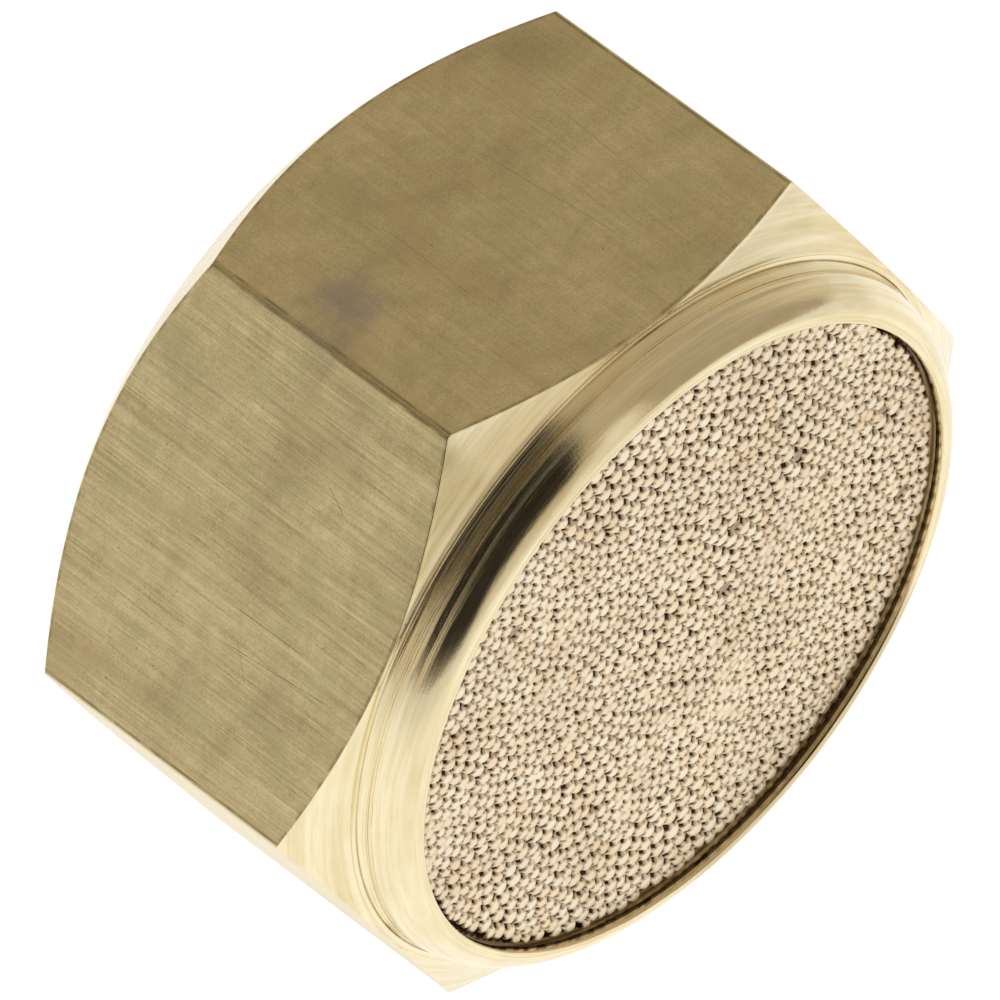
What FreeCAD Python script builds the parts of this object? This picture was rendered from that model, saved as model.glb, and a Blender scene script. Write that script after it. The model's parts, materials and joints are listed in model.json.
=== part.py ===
import FreeCAD, Part
import os
import math
import Sketcher
from FreeCAD import Vector

# Flat female-thread silencer: a hexagon body turned from brass bar, with a sintered-bronze disc
# held in its outlet end by a rolled collar.
#
# Frame: millimetres, +Z up.  The body lies on one of its flats.  The thread axis is the Y axis.
# The origin is the middle of the port mouth, on the thread axis: the port opens towards +Y,
# and the body and its outlet disc lie towards -Y.

doc = FreeCAD.newDocument("flat_silencer")

# ------------------------------------------------------------------ driving dimensions
sheet = doc.addObject("Spreadsheet::Sheet", "dims")
CELLS = [
    # hexagon bar
    ("across_flats", 17.0),      # wrench size
    ("edge_round", 0.12),        # rounding of the six long edges of the drawn bar
    # stations along the axis, as distances from the port face towards the outlet
    ("total_length", 9.9),       # port face to the top of the collar
    ("rear_corner", 1.28),       # where the port-end chamfer meets the six corners
    ("front_corner", 7.95),      # where the outlet-end chamfer meets the six corners
    ("cone_end", 8.705),         # inner end of the outlet-end chamfer
    ("step_end", 8.66),          # foot of the fine step inside the chamfer
    ("seat_depth", 7.30),        # shoulder that the disc sits on
    ("disc_face", 9.65),         # outer face of the disc
    # radii
    ("rear_face_rad", 8.06),     # outer edge of the flat port face
    ("cone_end_rad", 8.46),      # small end of the outlet-end chamfer
    ("step_rad", 8.40),          # foot of the step
    ("cove_rad", 0.42),          # hollow between the step and the collar
    ("collar_rad", 8.25),        # collar where the hollow runs out into it
    ("tip_rad", 7.60),           # middle of the collar's rounded top
    ("tip_round", 0.40),         # small radius at the top of the collar
    ("lip_rad", 7.50),           # inner edge of the collar's lip
    ("lip_round", 0.07),         # rounding of that edge
    ("seat_rad", 7.65),          # counterbore for the disc
    ("disc_rad", 7.63),
    ("disc_edge", 0.12),         # broken edges of the disc
    # G 1/4 internal thread, 19 threads per inch, 55 degree flanks
    ("thread_major", 13.157),
    ("thread_minor", 11.445),
    ("thread_pitch", 1.337),
    ("mouth_rad", 6.75),         # countersink at the port face
    ("relief_start", 5.15),      # thread relief, so that the tap runs out
    ("relief_end", 6.20),
    ("relief_rad", 6.72),
    ("face_edge", 0.12),         # broken outer edge of the port face
]
D = {}
for row, (name, value) in enumerate(CELLS, start=1):
    sheet.set("A%d" % row, name)
    sheet.set("B%d" % row, str(value))
    sheet.setAlias("B%d" % row, name)
    D[name] = value
doc.recompute()

# ------------------------------------------------------------------ helpers
class Dim:
    """A size together with the expression over the sheet's cells that gives it."""

    def __init__(self, number, text):
        self.number = float(number)
        self.text = text

    def __add__(self, other):
        o = dim(other)
        return Dim(self.number + o.number, "(%s + %s)" % (self.text, o.text))

    def __radd__(self, other):
        return dim(other) + self

    def __sub__(self, other):
        o = dim(other)
        return Dim(self.number - o.number, "(%s - %s)" % (self.text, o.text))

    def __rsub__(self, other):
        return dim(other) - self

    def __mul__(self, other):
        o = dim(other)
        return Dim(self.number * o.number, "(%s * %s)" % (self.text, o.text))

    __rmul__ = __mul__

    def __truediv__(self, other):
        o = dim(other)
        return Dim(self.number / o.number, "(%s / %s)" % (self.text, o.text))

    def __neg__(self):
        return Dim(-self.number, "(0 - %s)" % self.text)


def dim(x):
    """A sheet cell by name, or a plain number, as a Dim."""
    if isinstance(x, Dim):
        return x
    if isinstance(x, str):
        return Dim(D[x], "dims." + x)
    return Dim(x, repr(float(x)))


CORNER = 2 / math.sqrt(3)  # a hexagon's corner radius over half its across-flats size
corner_rad = dim("across_flats") / 2 * CORNER


def plane(body, role):
    for f in body.Origin.OriginFeatures:
        if f.Role == role:
            return f
    raise RuntimeError("no origin plane %s" % role)


def sketch_on(body, role, name):
    sk = body.newObject("Sketcher::SketchObject", name)
    sk.AttachmentSupport = (plane(body, role), [""])
    sk.MapMode = "FlatFace"
    return sk


def bind(sk, constraint, size, tag):
    """Adds a driving constraint, names it and binds it to the sheet."""
    i = sk.addConstraint(constraint)
    sk.renameConstraint(i, tag)
    if "dims." in size.text:
        sk.setExpression("Constraints." + tag, size.text)


def pin_point(sk, geo, pos, px, py, tag):
    """Fixes a point of the sketch at (px, py), measured from the sketch's origin."""
    for e, kind, suffix, axis in ((px, "DistanceX", "x", -2), (py, "DistanceY", "y", -1)):
        e = dim(e)
        if abs(e.number) < 1e-12:
            sk.addConstraint(Sketcher.Constraint("PointOnObject", geo, pos, axis))
        elif e.number < 0:
            bind(sk, Sketcher.Constraint(kind, geo, pos, -1, 1, -e.number), -e, tag + suffix)
        else:
            bind(sk, Sketcher.Constraint(kind, -1, 1, geo, pos, e.number), e, tag + suffix)


def polygon(sk, points, tag):
    """A closed outline of straight lines through the given points."""
    xy = [Vector(dim(px).number, dim(py).number, 0) for px, py in points]
    n = len(xy)
    for k in range(n):
        sk.addGeometry(Part.LineSegment(xy[k], xy[(k + 1) % n]), False)
    for k in range(n):
        sk.addConstraint(Sketcher.Constraint("Coincident", k, 2, (k + 1) % n, 1))
    for k, (px, py) in enumerate(points):
        pin_point(sk, k, 1, px, py, "%s%d" % (tag, k))


def groove(body, sk, name):
    g = body.newObject("PartDesign::Groove", name)
    g.Profile = sk
    g.ReferenceAxis = (sk, ["H_Axis"])
    g.Angle = 360.0
    sk.Visibility = False
    return g


def check(stage):
    doc.recompute()
    for o in doc.Objects:
        if "Invalid" in o.State or "Error" in o.State:
            raise RuntimeError("%s: %s is %s" % (stage, o.Name, o.State))


def removed(before, feature, stage):
    """Every cut has to take material away."""
    check(stage)
    after = feature.Shape.Volume
    if not after < before - 1e-3:
        raise RuntimeError("%s cut nothing (%.3f, %.3f)" % (stage, before, after))
    print("%-16s volume %.2f mm3" % (stage, after))
    return after


# ================================================================== hexagon body
hexb = doc.addObject("PartDesign::Body", "hex_body")
hexb.Label = "hex_body"

# the bar's hexagon, with a pair of flats level, so that the body can lie on one
sk = sketch_on(hexb, "XZ_Plane", "hexagon")
R = corner_rad.number
corner = [
    Vector(R * math.cos(math.radians(60 * k)), R * math.sin(math.radians(60 * k)), 0)
    for k in range(6)
]
for k in range(6):
    sk.addGeometry(Part.LineSegment(corner[k], corner[(k + 1) % 6]), False)
circle = sk.addGeometry(Part.Circle(Vector(0, 0, 0), Vector(0, 0, 1), R), True)
sk.addConstraint(Sketcher.Constraint("Coincident", circle, 3, -1, 1))
for k in range(6):
    sk.addConstraint(Sketcher.Constraint("Coincident", k, 2, (k + 1) % 6, 1))
    sk.addConstraint(Sketcher.Constraint("PointOnObject", k, 1, circle))
for k in range(1, 6):
    sk.addConstraint(Sketcher.Constraint("Equal", 0, k))
sk.addConstraint(Sketcher.Constraint("PointOnObject", 0, 1, -1))
bind(sk, Sketcher.Constraint("Radius", circle, R), corner_rad, "corner_radius")
bar = hexb.newObject("PartDesign::Pad", "bar")
bar.Profile = sk
bar.Length = D["total_length"]
bar.setExpression("Length", dim("total_length").text)
sk.Visibility = False
check("bar")
box = bar.Shape.BoundBox
if box.YMin > -1.0:  # the bar has to run towards -Y
    bar.Reversed = True
    check("bar")
print("bar", bar.Shape.BoundBox)

# the six long edges are slightly rounded, as on drawn bar
names = []
for i, e in enumerate(bar.Shape.Edges, start=1):
    if abs(e.Length - D["total_length"]) < 1e-6 and abs(
        e.Vertexes[0].Point.y - e.Vertexes[1].Point.y
    ) > 1:
        names.append("Edge%d" % i)
assert len(names) == 6, names
rounds = hexb.newObject("PartDesign::Fillet", "edge_rounding")
rounds.Base = (bar, names)
rounds.Radius = D["edge_round"]
rounds.setExpression("Radius", dim("edge_round").text)
volume = removed(bar.Shape.Volume, rounds, "edge_rounding")

# outlet end: a cone over the corners, a fine step and a hollow, and the collar's convex outside
sk = sketch_on(hexb, "YZ_Plane", "front_turning")
OUT = 12.0  # the cuts start well outside the bar
cone_rate = (dim("cone_end") - "front_corner") / (corner_rad - "cone_end_rad")
pts = [
    (-(dim("cone_end") - (OUT - dim("cone_end_rad")) * cone_rate), OUT),
    (-dim("cone_end"), "cone_end_rad"),
    (-dim("step_end"), "step_rad"),
]
xy = [Vector(dim(a).number, dim(b).number, 0) for a, b in pts]
for a, b in zip(xy, xy[1:]):
    sk.addGeometry(Part.LineSegment(a, b), False)
# the hollow's arc starts at the step's foot and ends level with the axis at the collar's widest
r0 = D["cove_rad"]
rise = D["step_rad"] - D["collar_rad"]
foot = Vector(xy[-1].x - math.sqrt(r0 * r0 - (r0 - rise) ** 2), D["collar_rad"], 0)
c0 = Vector(foot.x, foot.y + r0, 0)
tip = Vector(-D["total_length"], D["tip_rad"], 0)
r2 = D["tip_round"]
c2 = Vector(tip.x + r2, tip.y, 0)
dx = foot.x - c2.x
dy = foot.y - c2.y
# the collar's long arc starts level at its foot and runs into the tip's arc without a kink
r1 = (dx * dx + dy * dy - r2 * r2) / (2 * (dy - r2))
c1 = Vector(foot.x, foot.y - r1, 0)
u = (c2 - c1).normalize()
mid = c2 + u * r2
ang_mid = math.atan2(u.y, u.x)
g_cove = sk.addGeometry(
    Part.ArcOfCircle(
        Part.Circle(c0, Vector(0, 0, 1), r0),
        -math.pi / 2,
        math.atan2(xy[-1].y - c0.y, xy[-1].x - c0.x),
    ),
    False,
)
g_long = sk.addGeometry(
    Part.ArcOfCircle(Part.Circle(c1, Vector(0, 0, 1), r1), math.pi / 2, ang_mid), False
)
g_tip = sk.addGeometry(
    Part.ArcOfCircle(Part.Circle(c2, Vector(0, 0, 1), r2), ang_mid, math.pi), False
)
far = Vector(-(D["total_length"] + 0.6), D["tip_rad"], 0)
g_a = sk.addGeometry(Part.LineSegment(tip, far), False)
g_b = sk.addGeometry(Part.LineSegment(far, Vector(far.x, OUT, 0)), False)
g_c = sk.addGeometry(Part.LineSegment(Vector(far.x, OUT, 0), xy[0]), False)
sk.addConstraint(Sketcher.Constraint("Coincident", 0, 2, 1, 1))
sk.addConstraint(Sketcher.Constraint("Coincident", 1, 2, g_cove, 2))
sk.addConstraint(Sketcher.Constraint("Coincident", g_cove, 1, g_long, 1))
sk.addConstraint(Sketcher.Constraint("Tangent", g_long, 2, g_tip, 1))
sk.addConstraint(Sketcher.Constraint("Coincident", g_tip, 2, g_a, 1))
sk.addConstraint(Sketcher.Constraint("Coincident", g_a, 2, g_b, 1))
sk.addConstraint(Sketcher.Constraint("Coincident", g_b, 2, g_c, 1))
sk.addConstraint(Sketcher.Constraint("Coincident", g_c, 2, 0, 1))
pin_point(sk, 0, 1, pts[0][0], pts[0][1], "f0")
pin_point(sk, 1, 1, pts[1][0], pts[1][1], "f1")
pin_point(sk, 1, 2, pts[2][0], pts[2][1], "f2")
bind(sk, Sketcher.Constraint("Radius", g_cove, r0), dim("cove_rad"), "cove")
sk.addConstraint(Sketcher.Constraint("Vertical", g_cove, 3, g_cove, 1))
bind(sk, Sketcher.Constraint("DistanceY", -1, 1, g_long, 1, foot.y), dim("collar_rad"), "footy")
sk.addConstraint(Sketcher.Constraint("Vertical", g_long, 3, g_long, 1))
pin_point(sk, g_tip, 3, dim("tip_round") - "total_length", "tip_rad", "tipc")
bind(sk, Sketcher.Constraint("Radius", g_tip, r2), dim("tip_round"), "tipr")
sk.addConstraint(Sketcher.Constraint("Horizontal", g_tip, 3, g_tip, 2))
beyond = -(dim("total_length") + 0.6)
pin_point(sk, g_a, 2, beyond, "tip_rad", "far")
pin_point(sk, g_b, 2, beyond, OUT, "farout")
front = groove(hexb, sk, "front_shape")
volume = removed(volume, front, "front_shape")

# port end: a cone over the corners, down to the flat port face, whose edge is broken
sk = sketch_on(hexb, "YZ_Plane", "rear_turning")
rear_rate = dim("rear_corner") / (corner_rad - "rear_face_rad")
edge = dim("face_edge")
polygon(
    sk,
    [
        (0.6, dim("rear_face_rad") - edge),
        (0, dim("rear_face_rad") - edge),
        (-(edge * 0.5), dim("rear_face_rad") + edge * 0.5 / rear_rate - edge * 0.2),
        (-dim("rear_corner"), corner_rad),
        (-(dim("rear_corner") + (OUT - corner_rad) * rear_rate), OUT),
        (0.6, OUT),
    ],
    "r",
)
rear = groove(hexb, sk, "rear_shape")
volume = removed(volume, rear, "rear_shape")

# the bore: port countersink, tap-drill wall, thread relief, shoulder, disc seat and the lip over it
sk = sketch_on(hexb, "YZ_Plane", "bore_turning")
drill = dim("thread_minor") / 2
slope = (dim("relief_rad") - drill) * 0.45
lip_edge = dim("lip_round")
polygon(
    sk,
    [
        (0.6, 0),
        (0.6, dim("mouth_rad") + 0.6),
        (-(dim("mouth_rad") - drill), drill),
        (-dim("relief_start"), drill),
        (-(dim("relief_start") + slope), "relief_rad"),
        (-(dim("relief_end") - slope), "relief_rad"),
        (-dim("relief_end"), drill),
        (-dim("seat_depth"), drill),
        (-dim("seat_depth"), "seat_rad"),
        (-dim("disc_face"), "seat_rad"),
        (-dim("disc_face"), "lip_rad"),
        (-(dim("total_length") - lip_edge), "lip_rad"),
        (-(dim("total_length") - lip_edge * 0.3), dim("lip_rad") + lip_edge * 0.3),
        (-dim("total_length"), dim("lip_rad") + lip_edge),
        (beyond, dim("lip_rad") + lip_edge),
        (beyond, 0),
    ],
    "b",
)
bore = groove(hexb, sk, "bore")
volume = removed(volume, bore, "bore")

# the thread: one V groove with a narrow flat root, right-hand, from outside the mouth into the relief
sk = sketch_on(hexb, "YZ_Plane", "thread_form")
pitch = dim("thread_pitch")
FLANK = math.tan(math.radians(27.5))  # half of the 55 degree flank angle
root = pitch / 8
wide = root + (dim("thread_major") - "thread_minor") * FLANK
start = pitch * 0.9
under = 0.08  # the cutter reaches a little inside the tap-drill wall
polygon(
    sk,
    [
        (start - root / 2, dim("thread_major") / 2),
        (start + root / 2, dim("thread_major") / 2),
        (start + wide / 2 + under * FLANK, drill - under),
        (start - wide / 2 - under * FLANK, drill - under),
    ],
    "t",
)
thread = hexb.newObject("PartDesign::SubtractiveHelix", "thread")
thread.Profile = sk
thread.ReferenceAxis = (sk, ["H_Axis"])
thread.Mode = 0
thread.Pitch = D["thread_pitch"]
thread.setExpression("Pitch", pitch.text)
run = start + (dim("relief_start") + "relief_end") / 2
thread.Height = run.number
thread.setExpression("Height", run.text)
thread.LeftHanded = False
thread.Reversed = True
sk.Visibility = False
volume = removed(volume, thread, "thread")
hexb.Tip = thread

# ================================================================== sintered disc
disc = doc.addObject("PartDesign::Body", "sinter_disc")
disc.Label = "sinter_disc"
sk = sketch_on(disc, "YZ_Plane", "disc_half")
broken = dim("disc_edge")
polygon(
    sk,
    [
        (-dim("seat_depth"), 0),
        (-dim("seat_depth"), dim("disc_rad") - broken),
        (-(dim("seat_depth") + broken), "disc_rad"),
        (-(dim("disc_face") - broken), "disc_rad"),
        (-dim("disc_face"), dim("disc_rad") - broken),
        (-dim("disc_face"), 0),
    ],
    "d",
)
pressed = disc.newObject("PartDesign::Revolution", "pressed_disc")
pressed.Profile = sk
pressed.ReferenceAxis = (sk, ["H_Axis"])
pressed.Angle = 360.0
sk.Visibility = False
check("disc")

# ------------------------------------------------------------------ checks and export
check("all")
parts = [hexb, disc]
for b in parts:
    s = b.Shape
    if s.isNull() or not s.isValid():
        raise RuntimeError("%s has no valid shape" % b.Label)
    if len(s.Solids) != 1:
        raise RuntimeError("%s has %d solids" % (b.Label, len(s.Solids)))
overlap = hexb.Shape.common(disc.Shape).Volume
print("overlap of the two pieces: %.6f mm3" % overlap)
if overlap > 1e-4:
    raise RuntimeError("the pieces overlap")
os.makedirs("parts", exist_ok=True)
for b in parts:
    b.Shape.exportStep("parts/%s.step" % b.Label)
    bb = b.Shape.BoundBox
    print(
        "%-12s x %.2f..%.2f y %.2f..%.2f z %.2f..%.2f volume %.2f faces %d"
        % (
            b.Label, bb.XMin, bb.XMax, bb.YMin, bb.YMax, bb.ZMin, bb.ZMax,
            b.Shape.Volume, len(b.Shape.Faces),
        )
    )
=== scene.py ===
import json
import math

import bpy
import numpy as np
from mathutils import Matrix, Vector
from mathutils.geometry import delaunay_2d_cdt

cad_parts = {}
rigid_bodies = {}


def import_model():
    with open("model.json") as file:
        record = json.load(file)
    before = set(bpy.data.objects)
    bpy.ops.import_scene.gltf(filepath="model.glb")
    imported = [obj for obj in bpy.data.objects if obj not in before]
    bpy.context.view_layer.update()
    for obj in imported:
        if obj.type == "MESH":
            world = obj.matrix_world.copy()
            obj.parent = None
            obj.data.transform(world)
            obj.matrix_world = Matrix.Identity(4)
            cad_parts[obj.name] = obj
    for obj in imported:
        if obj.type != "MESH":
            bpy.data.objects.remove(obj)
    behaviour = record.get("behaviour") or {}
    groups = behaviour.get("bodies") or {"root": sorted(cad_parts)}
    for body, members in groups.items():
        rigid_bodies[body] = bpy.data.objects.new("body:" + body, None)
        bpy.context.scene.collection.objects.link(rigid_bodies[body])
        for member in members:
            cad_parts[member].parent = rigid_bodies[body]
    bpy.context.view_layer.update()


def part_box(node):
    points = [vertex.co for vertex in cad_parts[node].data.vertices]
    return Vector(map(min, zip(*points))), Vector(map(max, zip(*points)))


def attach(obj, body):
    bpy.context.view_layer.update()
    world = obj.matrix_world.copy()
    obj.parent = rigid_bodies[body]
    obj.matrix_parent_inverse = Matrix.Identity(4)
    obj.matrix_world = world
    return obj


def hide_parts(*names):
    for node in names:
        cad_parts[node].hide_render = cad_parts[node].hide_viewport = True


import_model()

MM = 0.001
rng = np.random.default_rng(20417)

# ------------------------------------------------------------------ sizes, in millimetres, as in the CAD part
box_lo, box_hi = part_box("hex_body")
disc_lo, disc_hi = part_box("sinter_disc")
LENGTH = (box_hi.y - box_lo.y) / MM  # 9.9
FLAT = (box_hi.z - box_lo.z) / MM / 2  # 8.5, half the wrench size
FACE = -disc_lo.y / MM  # 9.65, outer face of the disc
SEAT = -disc_hi.y / MM  # 7.30, shoulder that the disc sits on
DISC_R = (disc_hi.x - disc_lo.x) / MM / 2  # 7.63
CORNER_R = FLAT / math.cos(math.pi / 6)
EDGE_R = (CORNER_R - box_hi.x / MM) / (CORNER_R / FLAT - 1)  # 0.12, rounding of the long edges
CONE_END, CONE_END_R = 8.705, 8.46
FRONT_RATE = (CONE_END - 7.95) / (CORNER_R - CONE_END_R)
REAR_Y, REAR_R = 0.06, 8.1183
REAR_RATE = (1.28 - REAR_Y) / (CORNER_R - REAR_R)
LIP_R, SEAT_R, DRILL_R = 7.50, 7.65, 5.7225
MOUTH_R, PITCH = 6.75, 1.337


# ------------------------------------------------------------------ small helpers
def smooth01(x):
    x = np.clip(x, 0.0, 1.0)
    return x * x * (3 - 2 * x)


def tri_mesh(name, verts, faces, slots, mats=None, attributes=None):
    """A smooth-shaded mesh object from millimetre vertices; faces is a list of index arrays (quads or triangles)."""
    me = bpy.data.meshes.new(name)
    loops = np.concatenate([f.ravel() for f in faces]).astype(np.int32)
    sizes = np.concatenate([np.full(len(f), f.shape[1], np.int32) for f in faces])
    me.vertices.add(len(verts))
    me.vertices.foreach_set("co", (verts * MM).astype(np.float32).ravel())
    me.loops.add(len(loops))
    me.loops.foreach_set("vertex_index", loops)
    me.polygons.add(len(sizes))
    starts = np.concatenate([[0], np.cumsum(sizes)[:-1]]).astype(np.int32)
    me.polygons.foreach_set("loop_start", starts)
    me.update(calc_edges=True)
    me.polygons.foreach_set("use_smooth", np.ones(len(sizes), bool))
    if mats is not None:
        me.polygons.foreach_set("material_index", mats.astype(np.int32))
    for key, (kind, values) in (attributes or {}).items():
        a = me.attributes.new(key, kind, "POINT")
        a.data.foreach_set(
            "vector" if kind == "FLOAT_VECTOR" else "value",
            np.asarray(values, np.float32).ravel(),
        )
    me.validate()
    ob = bpy.data.objects.new(name, me)
    bpy.context.scene.collection.objects.link(ob)
    for m in slots:
        me.materials.append(m)
    return ob


# ================================================================== hexagon body
# The body is one closed skin: rows run round the section, columns run round the axis.
phi0 = math.atan(EDGE_R * 0.5 / ((FLAT - EDGE_R) / math.cos(math.pi / 6) + EDGE_R * math.cos(math.pi / 6)))
one = [phi0 * t for t in (-1, -0.66, -0.33, 0, 0.33, 0.66, 1)]
one += [phi0 + math.radians(0.16), phi0 + math.radians(0.55)]
inner0, inner1 = phi0 + math.radians(0.55), math.pi / 3 - phi0 - math.radians(0.55)
one += list(np.linspace(inner0, inner1, 42)[1:-1])
one += [inner1, math.pi / 3 - phi0 - math.radians(0.16)]
phi = np.array([a + k * math.pi / 3 for k in range(6) for a in one])
NC = len(phi)
from_corner = np.abs((phi + math.pi / 6) % (math.pi / 3) - math.pi / 6)
centre_c = (FLAT - EDGE_R) / math.cos(math.pi / 6)
hex_r = np.where(
    from_corner < phi0,
    centre_c * np.cos(from_corner)
    + np.sqrt(np.maximum(EDGE_R**2 - (centre_c * np.sin(from_corner)) ** 2, 0)),
    FLAT / np.cos(math.pi / 6 - from_corner),
)
sector = np.floor(phi / (math.pi / 3)).astype(int) % 6
mid_angle = math.radians(30) + sector * math.pi / 3
across = hex_r * np.sin(phi - mid_angle)  # distance from the middle of the flat

DRAWN, TURNED, BORE = 0, 1, 2
rows = []  # (y over the columns, radius over the columns, material of the faces up to the next row)


def row(y, r, mat):
    rows.append((np.broadcast_to(np.asarray(y, float), NC).copy(), np.broadcast_to(np.asarray(r, float), NC).copy(), mat))


def softened(points, d):
    """The section line through the points, with each inner corner eased over a distance d and held by a near point on each side."""
    out = [points[0]]
    for a, p, b in zip(points, points[1:], points[2:]):
        a, p, b = (np.array(q, float) for q in (a, p, b))
        la, lb = np.linalg.norm(a - p), np.linalg.norm(b - p)
        ua, ub = (a - p) / la, (b - p) / lb
        da, db = min(d, la * 0.3), min(d, lb * 0.3)
        if la > 4 * d:
            out.append(tuple(p + ua * da * 2.2))
        out.append(tuple(p + ua * da))
        out.append(tuple(p + (ua * da + ub * db) * 0.25))
        out.append(tuple(p + ub * db))
        if lb > 4 * d:
            out.append(tuple(p + ub * db * 2.2))
    out.append(points[-1])
    return out


# port face, its broken edge and the port-end chamfer
line = softened(
    [(0, MOUTH_R + 0.02), (0, 7.94), (-REAR_Y, REAR_R), (-REAR_Y - 0.1 * REAR_RATE, REAR_R + 0.1)], 0.02
)
for y, r in [(0, 6.80), (0, 7.05), (0, 7.35), (0, 7.65)] + [q for q in line[1:]]:
    row(y, r, TURNED)


def rear_y(r):
    return -(REAR_Y + (r - REAR_R) * REAR_RATE)


def front_y(r):
    return -(CONE_END - (r - CONE_END_R) * FRONT_RATE)


EASE = 0.022
start_r = REAR_R + 0.1
rear_hyp = math.hypot(1, REAR_RATE)
front_hyp = math.hypot(1, FRONT_RATE)
for t in (0.2, 0.4, 0.6, 0.8):
    r = start_r + (hex_r - start_r) * t
    row(rear_y(r), r, TURNED)
for back in (3.0, 1.0):
    r = hex_r - EASE * back / rear_hyp
    row(rear_y(r), r, TURNED)
y0 = rear_y(hex_r)
row(y0 - EASE * 0.18, hex_r - EASE * 0.16, DRAWN)
row(y0 - EASE, hex_r, DRAWN)
row(y0 - EASE * 3, hex_r, DRAWN)
y1 = front_y(hex_r)
for t in np.linspace(0, 1, 15)[1:-1]:
    row((y0 - EASE * 3) * (1 - t) + (y1 + EASE * 3) * t, hex_r, DRAWN)
row(y1 + EASE * 3, hex_r, DRAWN)
row(y1 + EASE, hex_r, DRAWN)
row(y1 + EASE * 0.18, hex_r - EASE * 0.16, TURNED)
# outlet-end chamfer
first_r = hex_r - EASE / front_hyp
row(front_y(first_r), first_r, TURNED)
r = hex_r - EASE * 3 / front_hyp
row(front_y(r), r, TURNED)
last_r = CONE_END_R + 0.012
for t in np.linspace(0, 1, 25)[1:-1]:
    q = r + (last_r - r) * t
    row(front_y(q), q, TURNED)
row(front_y(last_r), last_r, TURNED)
# the fine step inside the chamfer, then the hollow at the foot of the collar
COVE, STEP_Y, STEP_R, COLLAR_R = 0.42, -8.66, 8.40, 8.25
FOOT_Y = STEP_Y - math.sqrt(COVE**2 - (COVE - (STEP_R - COLLAR_R)) ** 2)
for y, r in [(-8.7045, 8.455), (-8.702, 8.446), (-8.698, 8.434), (-8.695, 8.422), (-8.697, 8.409), (-8.703, 8.397)]:
    row(y, r, TURNED)
start = math.acos(1 - (STEP_R - COLLAR_R) / COVE)
for a in np.linspace(start * 0.80, 0, 14)[:-1]:
    row(FOOT_Y + COVE * math.sin(a), COLLAR_R + COVE * (1 - math.cos(a)), TURNED)
# the collar: a long arc that runs into the small arc at its top
c2y, c2r, R2 = -LENGTH + 0.40, 7.60, 0.40
R1 = ((FOOT_Y - c2y) ** 2 + (COLLAR_R - c2r) ** 2 - R2**2) / (2 * (COLLAR_R - c2r - R2))
c1y, c1r = FOOT_Y, COLLAR_R - R1
turn = math.atan2(c1y - c2y, c2r - c1r)
for a in np.linspace(0, turn, 29)[:-1]:
    row(c1y - R1 * math.sin(a), c1r + R1 * math.cos(a), TURNED)
for a in np.linspace(turn, math.pi / 2, 13):
    row(c2y - R2 * math.sin(a), c2r + R2 * math.cos(a), TURNED)
# the lip's inner edge, its wall and underside, the disc seat, the shoulder and the bore behind it
line = softened(
    [(-LENGTH, 7.60), (-LENGTH, 7.57), (-LENGTH + 0.021, 7.521), (-LENGTH + 0.07, LIP_R), (-FACE, LIP_R),
     (-FACE, SEAT_R), (-SEAT, SEAT_R), (-SEAT, DRILL_R), (-6.20, DRILL_R), (-5.751, 6.72), (-5.675, 6.72)], 0.012
)
for y, r in line[1:-1]:
    row(y, r, TURNED if y < -9.6 else BORE)
first_thread_row = len(rows)


# thread, thread relief and the port's countersink, as a height over the angle and the depth
def bore_radius(y, angle):
    depth = -y
    r = np.full_like(depth, DRILL_R)
    r = np.maximum(r, MOUTH_R - depth)
    up = np.clip((depth - 5.15) / 0.449, 0, 1)
    r = np.maximum(r, DRILL_R + up * (6.72 - DRILL_R))
    # a V groove of 55 degrees with rounded root and crest, right-hand
    cut = 0.0 - (angle - math.pi / 2) / (2 * math.pi) * PITCH + 0.9 * PITCH
    u = (y - cut + PITCH / 2) % PITCH - PITCH / 2
    flank = (6.5785 + 0.107) - (np.abs(u) - 0.0) / math.tan(math.radians(27.5))
    root = 6.5785
    k = 0.09
    eased = -k * np.logaddexp(-flank / k, -root / k)
    eased = np.minimum(eased, root)
    e = 0.035
    return e * np.logaddexp(r / e, eased / e)


ys = np.linspace(-5.66, -0.02, 140)
for y in ys:
    yy = np.full(NC, y)
    r = bore_radius(yy, phi)
    r = np.minimum(r, 6.735 if y < -0.2 else 7.0)
    row(yy, r, BORE)

Y = np.array([q[0] for q in rows])
R = np.array([q[1] for q in rows])
row_mat = np.array([q[2] for q in rows])
NR = len(rows)
steps = np.hypot(np.diff(Y, axis=0), np.diff(R, axis=0))
S = np.vstack([np.zeros(NC), np.cumsum(steps, axis=0)])

# fine turning ridges on the chamfers, the collar and the port face, and the slight unevenness of drawn flats
dY, dR = np.gradient(Y, axis=0), np.gradient(R, axis=0)
dl = np.maximum(np.hypot(dY, dR), 1e-9)
nY, nR = dR / dl, -dY / dl  # the section's normal, outwards
section = R - Y * 1.15
ridge = np.zeros_like(Y)
for wave, size, helix, lobes in (
    (0.47, 0.0058, 5, 2), (0.31, 0.0042, -7, 3), (0.205, 0.0028, 9, 4), (0.143, 0.0017, -12, 5), (0.10, 0.0008, 7, 3),
):
    ph = rng.uniform(0, 2 * math.pi, 5)
    swell = 0.45 + 0.55 * np.sin(lobes * phi + ph[3])[None, :] * np.sin(2.1 * section + ph[4])
    ridge += size * np.abs(swell) * np.sin(
        2 * math.pi * section / wave
        + (helix * phi)[None, :] * 1.0
        + 0.8 * np.sin((lobes + 1) * phi + ph[0])[None, :]
        + ph[2]
    )
on_turned = np.repeat((row_mat == TURNED).astype(float)[:, None], NC, axis=1)
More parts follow.
